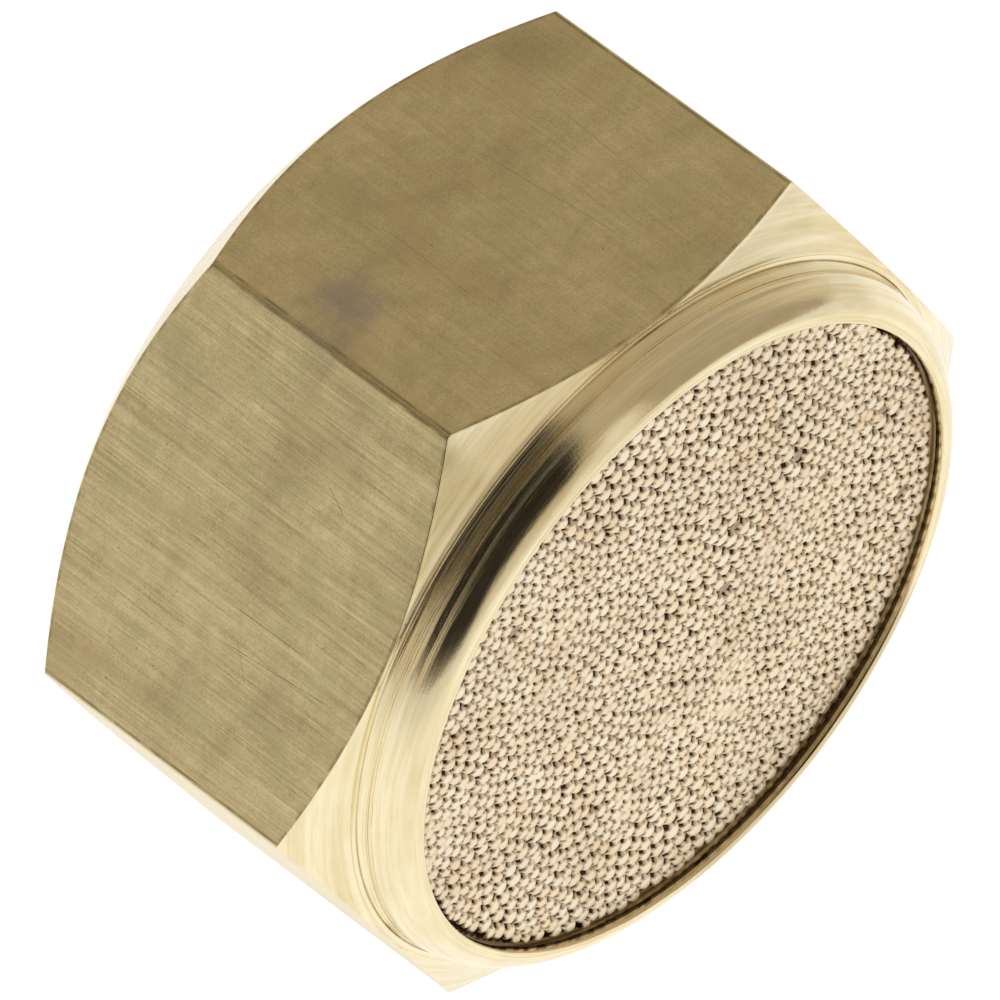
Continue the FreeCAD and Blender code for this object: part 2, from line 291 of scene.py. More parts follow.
# the ridges fade out before the sharp edges, the lip and the port face
edge_gap = np.minimum(np.abs(hex_r[None, :] - R), 1.0)
fade = np.where((Y > -8.72) & (R > 8.43), smooth01(edge_gap / 0.10) * smooth01((R - 8.47) / 0.06), 1.0)
fade *= np.where((Y <= -8.66) & (R < 8.43) | (Y < -8.73), smooth01((8.41 - R) / 0.05 + (Y < -8.9)), 1.0)
fade *= np.where((R < 7.64) & (Y < -9.0), 0.0, 1.0)
fade *= np.where(Y > -0.3, 0.0, 1.0)
fade *= np.where(Y > -3.0, 0.55, 1.0)
top_ridge = 0.0105
ridge = -np.maximum(top_ridge - ridge, 0.0) * fade * on_turned
Yd, Rd = Y + nY * ridge, R + nR * ridge
Yd = np.minimum(Yd, 0.0)
Yd = np.maximum(Yd, -LENGTH)
Rd = np.where(Y > -9.0, np.minimum(Rd, hex_r[None, :] + 0.0), Rd)
wave_f = 0.0016 * (
    np.sin(across[None, :] * 1.9 + sector[None, :] * 1.7) + np.sin(across[None, :] * 0.8 + Y * 0.5 + sector[None, :])
)
on_flat = (row_mat[:, None] == DRAWN) & (from_corner[None, :] > phi0 * 1.5)
Rd = np.where(on_flat, Rd - np.abs(wave_f) * smooth01((from_corner[None, :] - phi0 * 1.5) / 0.12), Rd)

cosp, sinp = np.cos(phi), np.sin(phi)
verts = np.stack([Rd * cosp[None, :], Yd, Rd * sinp[None, :]], axis=-1).reshape(-1, 3)
i0 = np.arange(NR)[:, None] * NC
i1 = ((np.arange(NR) + 1) % NR)[:, None] * NC
j0 = np.arange(NC)[None, :]
j1 = (np.arange(NC)[None, :] + 1) % NC
quads = np.stack([i0 + j0, i1 + j0, i1 + j1, i0 + j1], axis=-1).reshape(-1, 4)
mats = np.repeat(row_mat, NC)
tri_a, tri_b = verts[quads[:, [0, 1, 2]]], verts[quads[:, [0, 2, 3]]]
volume = sum(
    np.einsum("ij,ij->i", t[:, 0], np.cross(t[:, 1], t[:, 2])).sum() / 6 for t in (tri_a, tri_b)
)
if volume < 0:
    quads = quads[:, ::-1]
print("body: %d rows, %d columns, %d triangles, volume %.1f mm3" % (NR, NC, len(quads) * 2, abs(volume)))

lay = np.stack(
    [np.broadcast_to(across[None, :], Y.shape) + 0.0, Y, np.broadcast_to(sector[None, :] * 7.3, Y.shape)], axis=-1
).reshape(-1, 3)
lathe = np.stack([R * 1.0 - Y * 1.15, np.broadcast_to(cosp, Y.shape), np.broadcast_to(sinp, Y.shape)], axis=-1).reshape(-1, 3)
crease = np.minimum(np.abs(Y - y0[None, :]), np.abs(Y - y1[None, :]))
crease = np.where((row_mat == DRAWN)[:, None], crease, np.abs(R - hex_r[None, :])).reshape(-1)
contrast = np.broadcast_to(np.array([1.0, 0.42, 1.15, 0.9, 0.7, 1.1])[sector][None, :], Y.shape).reshape(-1)
# per flat, how much painted reflection of the bright floor it gets: most on the lower-left flat, a little on the bottom
# flat
painted_floor_sheen = np.broadcast_to(np.array([0.0, 0.0, 0.0, 1.0, 0.2, 0.0])[sector][None, :], Y.shape).reshape(-1)
corner_gap = np.broadcast_to((hex_r * np.sin(from_corner))[None, :], Y.shape).reshape(-1)


# ================================================================== materials
class Tree:
    """Short-hand for building a node tree."""

    def __init__(self, tree):
        self.t = tree
        self.t.nodes.clear()

    def node(self, kind, ins=None, **props):
        n = self.t.nodes.new(kind)
        for k, v in props.items():
            setattr(n, k, v)
        for k, v in (ins or {}).items():
            socket = n.inputs[k]
            if isinstance(v, bpy.types.NodeSocket):
                self.t.links.new(v, socket)
            else:
                socket.default_value = v
        return n

    def math(self, op, a, b=0.0, c=0.0, clamp=False):
        return self.node("ShaderNodeMath", {0: a, 1: b, 2: c}, operation=op, use_clamp=clamp).outputs[0]

    def scale(self, vector, xyz, move=(0, 0, 0)):
        return self.node(
            "ShaderNodeVectorMath", {0: vector, 1: xyz, 2: move}, operation="MULTIPLY_ADD"
        ).outputs[0]

    def noise(self, vector, xyz=(1, 1, 1), move=(0, 0, 0), detail=3.0, rough=0.5, bend=0.0):
        return self.node(
            "ShaderNodeTexNoise",
            {"Vector": self.scale(vector, xyz, move), "Scale": 1.0, "Detail": detail, "Roughness": rough, "Distortion": bend},
            noise_dimensions="3D",
        ).outputs["Fac"]

    def ramp(self, value, lo, hi, a=0.0, b=1.0, kind="SMOOTHSTEP"):
        return self.node(
            "ShaderNodeMapRange",
            {"Value": value, "From Min": lo, "From Max": hi, "To Min": a, "To Max": b},
            interpolation_type=kind,
        ).outputs["Result"]

    def mix(self, fac, a, b, blend="MIX"):
        n = self.node("ShaderNodeMix", data_type="RGBA", blend_type=blend)
        for key, v in ((0, fac), (6, a), (7, b)):
            if isinstance(v, bpy.types.NodeSocket):
                self.t.links.new(v, n.inputs[key])
            else:
                n.inputs[key].default_value = (*v, 1.0) if isinstance(v, tuple) else v
        return n.outputs[2]

    def attribute(self, name, out="Vector"):
        return self.node("ShaderNodeAttribute", attribute_name=name, attribute_type="GEOMETRY").outputs[out]

    def bump(self, height, distance, strength=1.0, normal=None):
        ins = {"Height": height, "Distance": distance, "Strength": strength}
        if normal is not None:
            ins["Normal"] = normal
        return self.node("ShaderNodeBump", ins).outputs[0]

    def blob(self, vector, centre, inner, outer):
        """1 near a point, fading to 0 at the outer distance."""
        gap = self.node("ShaderNodeVectorMath", {0: vector, 1: centre}, operation="DISTANCE").outputs["Value"]
        return self.ramp(gap, inner, outer, 1.0, 0.0)


def material(name):
    m = bpy.data.materials.new(name)
    m.use_nodes = True
    return m, Tree(m.node_tree)


def millimetres(t):
    return t.scale(t.node("ShaderNodeTexCoord").outputs["Object"], (1000, 1000, 1000))


def principled(t, colour, rough, metal=1.0, normal=None, **more):
    ins = {"Base Color": colour, "Roughness": rough, "Metallic": metal}
    if normal is not None:
        ins["Normal"] = normal
    ins.update(more)
    shader = t.node("ShaderNodeBsdfPrincipled", ins).outputs[0]
    t.node("ShaderNodeOutputMaterial", {"Surface": shader})


def drawn_brass():
    m, t = material("drawn_brass")
    pos = millimetres(t)
    lay = t.attribute("lay")
    gap = t.attribute("corner_gap", "Fac")
    # drawing lines along the bar, from broad to very fine
    broad = t.noise(lay, (2.6, 0.10, 1), (3, 1, 0), detail=4, rough=0.62)
    lines = t.noise(lay, (10.0, 0.24, 1), (0, 0, 0), detail=5, rough=0.66)
    fine = t.noise(lay, (34.0, 0.9, 1), (5, 2, 0), detail=3, rough=0.6)
    # tarnish in soft clouds
    cloud = t.noise(pos, (0.34, 0.5, 0.34), (4.1, 0, 2.2), detail=6, rough=0.6, bend=0.6)
    small = t.noise(pos, (2.4, 2.4, 2.4), (0, 0, 0), detail=6, rough=0.68)
    grit = t.noise(pos, (16, 16, 16), (1, 7, 0), detail=4, rough=0.75)
    # dark specks and small pits
    speck_raw = t.noise(pos, (6.5, 6.5, 6.5), (9, 3, 1), detail=2.5, rough=0.62)
    speck = t.ramp(speck_raw, 0.725, 0.775)
    pit_raw = t.noise(lay, (15, 8, 1), (2, 9, 4), detail=1.5, rough=0.5)
    pit = t.ramp(pit_raw, 0.765, 0.81)
    # a few straight scratches on each flat: start, length, slant and width
    g = np.random.default_rng(88)
    scratch = None
    for k in range(6):
        for q in range(5):
            slant = math.radians(g.normal(0, 7) if q < 3 else g.uniform(-70, 70))
            long = g.uniform(1.8, 4.5) if q < 3 else g.uniform(0.5, 1.5)
            x0, yb = g.uniform(-3.6, 3.6), g.uniform(-7.0, -3.2)
            d = (math.sin(slant), math.cos(slant))
            local = t.node("ShaderNodeVectorMath", {0: lay, 1: (x0, yb, k * 7.3)}, operation="SUBTRACT").outputs[0]
            alongside = t.node("ShaderNodeVectorMath", {0: local, 1: (d[0], d[1], 0)}, operation="DOT_PRODUCT").outputs["Value"]
            off = t.node("ShaderNodeVectorMath", {0: local, 1: (d[1], -d[0], 9.0)}, operation="DOT_PRODUCT").outputs["Value"]
            wide = g.uniform(0.009, 0.02)
            thin = t.ramp(t.math("ABSOLUTE", off), wide * 0.4, wide, 1.0, 0.0)
            ends = t.ramp(t.math("ABSOLUTE", alongside), long * 0.3, long * 0.5, g.uniform(0.35, 0.9), 0.0)
            one_mark = t.math("MULTIPLY", thin, ends)
            scratch = one_mark if scratch is None else t.math("MAXIMUM", scratch, one_mark)
    # colour
    contrast = t.attribute("contrast", "Fac")
    streak = t.math("MULTIPLY", t.math("SUBTRACT", lines, 0.5), 1.5)
    streak = t.math("MULTIPLY_ADD", t.math("SUBTRACT", broad, 0.5), 0.8, streak)
    streak = t.math("MULTIPLY_ADD", t.math("SUBTRACT", fine, 0.5), 1.0, streak)
    tone = t.math("MULTIPLY_ADD", streak, contrast, 0.52)
    tone = t.math("MULTIPLY_ADD", t.math("SUBTRACT", cloud, 0.5), -1.0, tone)
    tone = t.math("MULTIPLY_ADD", t.math("SUBTRACT", small, 0.5), 1.0, tone)
    tone = t.math("MULTIPLY_ADD", t.math("SUBTRACT", grit, 0.5), 1.5, tone)
    colour = t.mix(t.ramp(tone, 0.0, 1.0, 0, 1, "LINEAR"), (0.47, 0.385, 0.20), (0.795, 0.685, 0.405))
    patch = t.ramp(t.math("MULTIPLY_ADD", small, 0.35, t.math("MULTIPLY", cloud, 0.65)), 0.50, 0.66)
    colour = t.mix(t.math("MULTIPLY", patch, 0.42), colour, (0.40, 0.34, 0.215))
    # warmer and greener patches
    hue = t.noise(pos, (0.9, 0.9, 0.9), (7, 1, 3), detail=4, rough=0.6)
    colour = t.mix(t.ramp(hue, 0.50, 0.68, 0.0, 0.55), colour, (0.63, 0.49, 0.27))
    colour = t.mix(t.ramp(hue, 0.34, 0.48, 0.42, 0.0), colour, (0.54, 0.48, 0.255))
    # painted reflection: the lower flats are mixed towards pale brass, standing in for the bright floor they mirror at
    # a grazing angle
    colour = t.mix(t.math("MULTIPLY", t.attribute("painted_floor_sheen", "Fac"), 0.75), colour, (0.93, 0.83, 0.60))
    # a grey-violet stain on the upper flat, towards the port end
    stain = t.blob(t.scale(pos, (1, 1.35, 1)), (-4.3, -4.0 * 1.35, 8.5), 0.3, 2.1)
    stain = t.math("MULTIPLY", stain, t.ramp(t.noise(pos, (1.0, 1.0, 1.0), (2.42, 2.13, 2), detail=3, rough=0.5), 0.33, 0.60, 0.15, 1.0))
    above = t.node("ShaderNodeVectorMath", {0: pos, 1: (0, 0, 1)}, operation="DOT_PRODUCT").outputs["Value"]
    stain = t.math("MULTIPLY", stain, t.ramp(above, 8.36, 8.47))
    colour = t.mix(t.math("MULTIPLY", stain, 0.70), colour, (0.33, 0.30, 0.285))
    colour = t.mix(t.math("MULTIPLY", speck, 0.55), colour, (0.20, 0.14, 0.07))
    colour = t.mix(t.math("MULTIPLY", pit, 0.6), colour, (0.22, 0.155, 0.075))
    colour = t.mix(t.math("MULTIPLY", scratch, 0.5), colour, (0.26, 0.19, 0.09))
    # along each long edge: a thin dark line either side of the rubbed rounding
    side = t.math("MULTIPLY", t.ramp(gap, 0.025, 0.05), t.ramp(gap, 0.07, 0.115, 1.0, 0.0))
    side = t.math("MULTIPLY", side, t.ramp(t.noise(lay, (6, 1.6, 1), (1, 8, 0), detail=3), 0.35, 0.6, 0.35, 1.0))
    colour = t.mix(t.math("MULTIPLY", side, 0.68), colour, (0.20, 0.145, 0.055))
    # the cutting burr's shadow along the chamfers
    rim = t.attribute("crease", "Fac")
    burr = t.math("MULTIPLY", t.ramp(rim, 0.05, 0.095, 1.0, 0.0), t.ramp(t.noise(pos, (3.2, 3.2, 3.2), (4, 4, 9), detail=4), 0.42, 0.62))
    colour = t.mix(t.math("MULTIPLY", burr, 0.5), colour, (0.24, 0.175, 0.075))
    rough = t.math("MULTIPLY_ADD", cloud, 0.16, 0.27)
    rough = t.math("MULTIPLY_ADD", lines, 0.10, rough)
    height = t.math("MULTIPLY_ADD", fine, 0.45, t.math("MULTIPLY", lines, 1.0))
    height = t.math("MULTIPLY_ADD", grit, 0.5, height)
    height = t.math("MULTIPLY_ADD", scratch, -0.7, height)
    height = t.math("MULTIPLY_ADD", pit, -0.9, height)
    height = t.math("MULTIPLY_ADD", speck, -0.5, height)
    principled(t, colour, rough, 1.0, t.bump(height, 0.0000075))
    return m


def turned_brass(name, dull=0.0):
    m, t = material(name)
    pos = millimetres(t)
    lathe = t.attribute("lathe")
    wide = t.noise(lathe, (1.7, 1.1, 1.1), (0, 3, 1), detail=4, rough=0.6, bend=0.2)
    lines = t.noise(lathe, (6.5, 1.9, 1.9), (0, 0, 0), detail=5, rough=0.68)
    fine = t.noise(lathe, (27.0, 3.2, 3.2), (2, 0, 4), detail=3, rough=0.6)
    cloud = t.noise(pos, (0.8, 0.8, 0.8), (3, 3, 0), detail=5, rough=0.6)
    grit = t.noise(pos, (18, 18, 18), (0, 5, 0), detail=3, rough=0.7)
    tone = t.math("MULTIPLY_ADD", t.math("SUBTRACT", lines, 0.5), 1.5, 0.68)
    tone = t.math("MULTIPLY_ADD", t.math("SUBTRACT", fine, 0.5), 0.9, tone)
    tone = t.math("MULTIPLY_ADD", t.math("SUBTRACT", wide, 0.5), 1.0, tone)
    tone = t.math("MULTIPLY_ADD", t.math("SUBTRACT", cloud, 0.5), 0.4, tone)
    bright, dark = (0.955, 0.86, 0.60), (0.70, 0.54, 0.255)
    if dull:
        bright = tuple(c * (1 - dull) for c in bright)
        dark = tuple(c * (1 - dull) for c in dark)
    colour = t.mix(t.ramp(tone, 0.0, 1.0, 0, 1, "LINEAR"), dark, bright)
    xyz = t.node("ShaderNodeSeparateXYZ", {0: pos}).outputs
    y = xyz[1]
    radius = t.math("SQRT", t.math("MULTIPLY_ADD", xyz[0], xyz[0], t.math("MULTIPLY", xyz[2], xyz[2])))
    # a thin line of painted shade in the hollow at the collar's foot
    foot = t.math("MULTIPLY", t.ramp(y, -8.775, -8.745), t.ramp(y, -8.735, -8.705, 1.0, 0.0))
    foot = t.math("MULTIPLY", foot, t.ramp(radius, 8.40, 8.42, 1.0, 0.0))
    foot = t.math("MULTIPLY", foot, t.ramp(wide, 0.38, 0.6))
    colour = t.mix(t.math("MULTIPLY", foot, 0.25), colour, (0.28, 0.20, 0.09))
    # a darker patch on the step, towards one corner
    corner = t.node("ShaderNodeVectorMath", {0: pos, 1: (-0.616, 0.0, 0.788)}, operation="DOT_PRODUCT").outputs["Value"]
    on_step = t.math("MULTIPLY", t.ramp(radius, 8.335, 8.36), t.ramp(radius, 8.49, 8.57, 1.0, 0.0))
    on_step = t.math("MULTIPLY", on_step, t.math("MULTIPLY", t.ramp(corner, 7.82, 8.10), t.ramp(y, -8.76, -8.74)))
    on_step = t.math("MULTIPLY", on_step, t.math("MULTIPLY", t.ramp(y, -8.60, -8.55, 1.0, 0.0), t.ramp(wide, 0.30, 0.55, 0.4, 1.0)))
    colour = t.mix(t.math("MULTIPLY", on_step, 0.72), colour, (0.20, 0.15, 0.08))
    # darker brass on the chamfer beside that corner
    beside = t.node("ShaderNodeVectorMath", {0: pos, 1: (-0.656, 0.0, 0.755)}, operation="DOT_PRODUCT").outputs["Value"]
    beside = t.math("MULTIPLY", t.ramp(t.math("DIVIDE", beside, radius), 0.978, 0.990), t.ramp(radius, 8.5, 8.75))
    beside = t.math("MULTIPLY", beside, t.math("MULTIPLY", t.ramp(y, -7.6, -7.2, 1.0, 0.0), t.ramp(lines, 0.36, 0.58, 0.35, 1.0)))
    colour = t.mix(t.math("MULTIPLY", beside, 0.80), colour, (0.50, 0.38, 0.16))
    # painted shade on the lip's inner wall next to the disc, and a painted brownish reflection on part of the lip
    inside = t.ramp(radius, 7.515, 7.56, 1.0, 0.0)
    # painted shade: the part of the lip's inner wall next to the disc is coloured near black
    painted_wall_shade = t.math("MULTIPLY", t.math("MULTIPLY", t.ramp(y, -9.775, -9.735), t.ramp(y, -9.60, -9.55, 1.0, 0.0)), inside)
    colour = t.mix(t.math("MULTIPLY", painted_wall_shade, 0.93), colour, (0.05, 0.03, 0.014))
    # painted reflection: a brownish band on the lip's top, over part of its round
    arc = t.node("ShaderNodeVectorMath", {0: pos, 1: (0.52, 0.0, -0.85)}, operation="DOT_PRODUCT").outputs["Value"]
    brown = t.math("MULTIPLY", t.ramp(arc, 6.3, 6.9), t.math("MULTIPLY", t.ramp(y, -9.83, -9.88), t.ramp(radius, 7.64, 7.72, 1.0, 0.0)))
    brown = t.math("MULTIPLY", brown, t.ramp(y, -9.6, -9.65))
    colour = t.mix(t.math("MULTIPLY", brown, 0.42), colour, (0.42, 0.31, 0.16))
    dirt = t.ramp(t.math("MULTIPLY_ADD", lines, 0.55, t.math("MULTIPLY", wide, 0.45)), 0.57, 0.70)
    colour = t.mix(t.math("MULTIPLY", dirt, 0.5), colour, (0.42, 0.315, 0.15))
    rough = t.math("MULTIPLY_ADD", lines, 0.14, 0.18 if dull else 0.06)
    rough = t.math("MULTIPLY_ADD", dirt, 0.08, rough)
    height = t.math("MULTIPLY_ADD", fine, 0.5, lines)
    height = t.math("MULTIPLY_ADD", grit, 0.12, height)
    # coarser tool marks low on the collar
    marks = t.noise(lathe, (5.2, 0.55, 0.55), (8, 1, 2), detail=4, rough=0.6, bend=0.3)
    low = t.math("MULTIPLY", t.ramp(y, -9.32, -9.12), t.math("MULTIPLY", t.ramp(y, -8.76, -8.70, 1.0, 0.0), t.ramp(radius, 8.40, 8.46, 1.0, 0.0)))
    height = t.math("MULTIPLY_ADD", t.math("MULTIPLY", marks, low), 8.0, height)
    # turned metal: the fine grooves spread the shine across them
    along = t.node("ShaderNodeTangent", direction_type="RADIAL", axis="Y").outputs[0]
    principled(
        t, colour, t.math("ADD", rough, 0.03), 1.0, t.bump(height, 0.000009),
        **{"Anisotropic": 0.55, "Anisotropic Rotation": 0.25, "Tangent": along},
    )
    return m


def sintered_bronze():
    m, t = material("sintered_bronze")
    pos = millimetres(t)
    pore = t.attribute("pore", "Fac")
    tint = t.attribute("grain", "Fac")
    skin = t.noise(pos, (14, 14, 14), (0, 0, 0), detail=4, rough=0.65)
    drift = t.noise(pos, (0.55, 0.55, 0.55), (6, 0, 2), detail=4, rough=0.55)
    tone = t.math("MULTIPLY_ADD", tint, 0.38, t.math("MULTIPLY_ADD", skin, 0.5, 0.12))
    colour = t.mix(t.ramp(tone, 0.12, 0.85, 0, 1, "LINEAR"), (0.90, 0.685, 0.435), (1.0, 0.91, 0.715))
    colour = t.mix(t.math("MULTIPLY", t.ramp(drift, 0.42, 0.68), 0.22), colour, (0.62, 0.45, 0.29))
    # painted shade: the pore value colours the pores and the grains' flanks towards them brown to near black
    colour = t.mix(t.ramp(pore, 0.12, 0.36, 0.0, 0.45), colour, (0.48, 0.30, 0.16))
    deep = t.ramp(pore, 0.33, 0.50)
    colour = t.mix(t.math("MULTIPLY", deep, 0.97), colour, (0.045, 0.021, 0.008))
    rough = t.math("MULTIPLY_ADD", skin, 0.2, 0.36)
    principled(t, colour, rough, 0.92, t.bump(skin, 0.000012))
    return m


brass_flat = drawn_brass()
brass_turned = turned_brass("turned_brass")
brass_bore = turned_brass("bored_brass", 0.10)
bronze = sintered_bronze()

body = tri_mesh(
    "muffler_body", verts, [quads], [brass_flat, brass_turned, brass_bore], mats,
    {"lay": ("FLOAT_VECTOR", lay), "lathe": ("FLOAT_VECTOR", lathe), "corner_gap": ("FLOAT", corner_gap),
     "crease": ("FLOAT", crease), "contrast": ("FLOAT", contrast), "painted_floor_sheen": ("FLOAT", painted_floor_sheen)},
)
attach(body, "root")
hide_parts("hex_body")


# ================================================================== sintered disc
def packed_points(radius, pitch, rim_count, rim_radius, passes, seed):
    """Grain centres packed at random in a circle, then settled, with fixed points round the rim."""
    g = np.random.default_rng(seed)
    count = int(math.pi * radius * radius / (0.866 * pitch * pitch))
    rad = np.sqrt(g.uniform(0, 1, count)) * (radius - pitch * 0.4)
    ang = g.uniform(0, 2 * math.pi, count)
    pts = np.stack([rad * np.cos(ang), rad * np.sin(ang)], axis=1)
    a = np.arange(rim_count) * 2 * math.pi / rim_count
    rim = np.stack([np.cos(a), np.sin(a)], axis=1) * rim_radius
    tris = None
    for k in range(passes + 1):
        both = np.vstack([rim, pts])
        out = delaunay_2d_cdt([Vector(p) for p in both], [], [], 0, 1e-7, False)
        if len(out[0]) != len(both):
            raise RuntimeError("two grains share a place")
        tris = np.array(out[2], int)
        if k == passes:
            break
        p = both[tris]
        area = 0.5 * np.abs(
            (p[:, 1, 0] - p[:, 0, 0]) * (p[:, 2, 1] - p[:, 0, 1]) - (p[:, 2, 0] - p[:, 0, 0]) * (p[:, 1, 1] - p[:, 0, 1])
        )
        centre = p.mean(axis=1)
        total, weight = np.zeros_like(both), np.zeros(len(both))
        for c in range(3):
            np.add.at(total, tris[:, c], centre * area[:, None])
            np.add.at(weight, tris[:, c], area)
        moved = total / np.maximum(weight, 1e-9)[:, None]
        pts = pts + (moved[rim_count:] - pts) * (1.3 if k < passes - 1 else 0.8)
        far = np.hypot(pts[:, 0], pts[:, 1])
        limit = rim_radius - pitch * 0.35
        pts *= np.where(far > limit, limit / np.maximum(far, 1e-9), 1.0)[:, None]
    return np.vstack([rim, pts]), tris


def grain_skin(radius, pitch, rim_count, rim_radius, rings, seed, passes=9, shut=0.10):
    """One granular face as a height over the plane: x, z, depth below the grain tops, pore value (how much painted pore
    shade), grain tint; and its triangles.
    """
    g = np.random.default_rng(seed + 1)
    pts, tris = packed_points(radius, pitch, rim_count, rim_radius, passes, seed)
    n = len(pts)
    p = pts[tris]
    turn = (p[:, 1, 0] - p[:, 0, 0]) * (p[:, 2, 1] - p[:, 0, 1]) - (p[:, 2, 0] - p[:, 0, 0]) * (p[:, 1, 1] - p[:, 0, 1])
    tris = np.where((turn < 0)[:, None], tris[:, [0, 2, 1]], tris)
    is_rim = np.arange(n) < rim_count
    rest = g.uniform(0, 1, n)
    top = 0.006 + 0.022 * g.uniform(0, 1, n) ** 1.4
    missing = (g.uniform(0, 1, n) < 0.006) & ~is_rim
    top = np.where(missing, 0.20 * pitch, top)
    top = np.where((g.uniform(0, 1, n) < 0.09) & ~is_rim & ~missing, top + 0.07 * pitch, top)
    top[is_rim] = 0.12
    verts, depth, pore, tint, index = [], [], [], [], {}

    def add(key, xy, d, po, ti):
        index[key] = len(verts)
        verts.append(xy)
        depth.append(d)
        pore.append(po)
        tint.append(ti)
        return index[key]

    # the disc's rim is slightly rounded off
    def falloff(xy):
        e = max(0.0, (math.hypot(xy[0], xy[1]) - (rim_radius - 0.16)) / 0.16)
        return 0.10 * e * e

    for i in range(n):
        add(("c", i), pts[i], top[i] + falloff(pts[i]), 0.42 if missing[i] else 0.0, rest[i])
    edge_mid = {}
    corner = pts[tris]
    sides = np.stack([np.linalg.norm(corner[:, a] - corner[:, b], axis=1) for a, b in ((0, 1), (1, 2), (2, 0))], axis=1)
    slack = sides.mean(axis=1) / pitch + g.normal(0, 0.08, len(tris))
    open_pore = slack > np.quantile(slack, shut)
    for k, tri in enumerate(tris):
        gx = pts[tri].mean(axis=0)
        near = top[tri].mean() + falloff(gx)
        any_rim = is_rim[tri].any()
        if open_pore[k]:
            d, po = near + (0.50 + 0.35 * g.uniform()) * pitch, 1.0
        else:
            d, po = near + (0.08 + 0.14 * g.uniform()) * pitch, 0.08 + 0.42 * g.uniform() ** 1.5
        # triangles touching the rim, under the lip, get a high pore value: painted shade under the lip
        add(("g", k), gx, 0.20 if any_rim else d, 0.9 if any_rim else po, rest[tri].mean())
        for a, b in ((0, 1), (1, 2), (2, 0)):
            i, j = tri[a], tri[b]
            if is_rim[i] and is_rim[j]:
                continue
            e = (min(i, j), max(i, j))
            if e in edge_mid:
                continue
            gap = np.linalg.norm(pts[i] - pts[j]) / pitch
            stretch = min(max(gap - 0.88, 0.0) * 1.6, 0.6)
            middle = (pts[i] + pts[j]) / 2
            d = (top[i] + top[j]) / 2 + falloff(middle) + (0.022 + 0.035 * g.uniform() + 0.35 * stretch) * pitch
            rim_edge = is_rim[i] or is_rim[j]
            edge_mid[e] = add(
                ("m", e), middle, 0.16 if rim_edge else d, 0.7 if rim_edge else -0.22 + 0.8 * stretch + 0.12 * g.uniform(), (rest[i] + rest[j]) / 2
            )
    ball = 0.5 * pitch
    frac = {1: (0.62,), 2: (0.44, 0.67)}.get(rings, ())
    faces = []

    def ring_points(i, key, target):
        """The grain's own points between its centre and a shared point."""
        out = []
        t_xy, t_d = np.asarray(verts[target]), depth[target]
        for q, f in enumerate(frac):
            name = ("r", i, key, q)
            if name not in index:
                xy = pts[i] + (t_xy - pts[i]) * f
                s = np.linalg.norm(xy - pts[i])
                drop = 0.13 * (ball - math.sqrt(max(ball * ball - s * s, (0.16 * ball) ** 2)))
                base_top = top[i] + falloff(xy)
                d = min(base_top + drop * (1.0 if not missing[i] else 0.3), t_d - 0.02 * pitch * (len(frac) - q))
                hole = key[0] == "g" and open_pore[key[1]] and q == len(frac) - 1
                add(name, xy, max(d, base_top), 0.4 if missing[i] else (0.37 if hole else 0.02 + 0.05 * q), rest[i])
            out.append(index[name])
        return out

    for k, tri in enumerate(tris):
        centre = index[("g", k)]
        for a, b in ((0, 1), (1, 2), (2, 0)):
            i, j = tri[a], tri[b]
            if is_rim[i] and is_rim[j]:
                faces.append((index[("c", i)], index[("c", j)], centre))
                continue
            mid = edge_mid[(min(i, j), max(i, j))]
            for who, first, second, k1, k2 in (
                (i, mid, centre, ("m", min(i, j), max(i, j)), ("g", k)),
                (j, centre, mid, ("g", k), ("m", min(i, j), max(i, j))),
            ):
                c = index[("c", who)]
                if is_rim[who] or not frac:
                    faces.append((c, first, second))
                    continue
                p1 = ring_points(who, k1, first)
                p2 = ring_points(who, k2, second)
                faces.append((c, p1[0], p2[0]))
                for q in range(len(frac) - 1):
                    faces.append((p1[q], p1[q + 1], p2[q + 1]))
                    faces.append((p1[q], p2[q + 1], p2[q]))
                faces.append((p1[-1], first, second))
                faces.append((p1[-1], second, p2[-1]))
    return np.array(verts), np.array(depth), np.array(pore), np.array(tint), np.array(faces, int)


RIM = 176
GRAIN = 0.33
f_xz, f_d, f_pore, f_tint, f_tris = grain_skin(DISC_R - 0.06, GRAIN, RIM, DISC_R - 0.055, 2, 311)
b_xz, b_d, b_pore, b_tint, b_tris = grain_skin(DISC_R - 0.06, 0.40, RIM, DISC_R - 0.055, 2, 977, passes=7)
front = np.stack([f_xz[:, 0], -FACE + f_d * 1.0, f_xz[:, 1]], axis=1)
back = np.stack([b_xz[:, 0], -SEAT - b_d * 0.8, b_xz[:, 1]], axis=1)
angle = np.arange(RIM) * 2 * math.pi / RIM
walls = []
for y, r in ((-FACE + 0.22, DISC_R), (-8.5, DISC_R), (-SEAT - 0.17, DISC_R)):
    walls.append(np.stack([r * np.cos(angle), np.full(RIM, y), r * np.sin(angle)], axis=1))
disc_v = np.vstack([front, back] + walls)
nf, nb = len(front), len(back)
k = np.arange(RIM)
k1 = (k + 1) % RIM


def band(a, b):
    return np.stack([a + k, a + k1, b + k1, b + k], axis=1)


w = [nf + nb + RIM * q for q in range(3)]
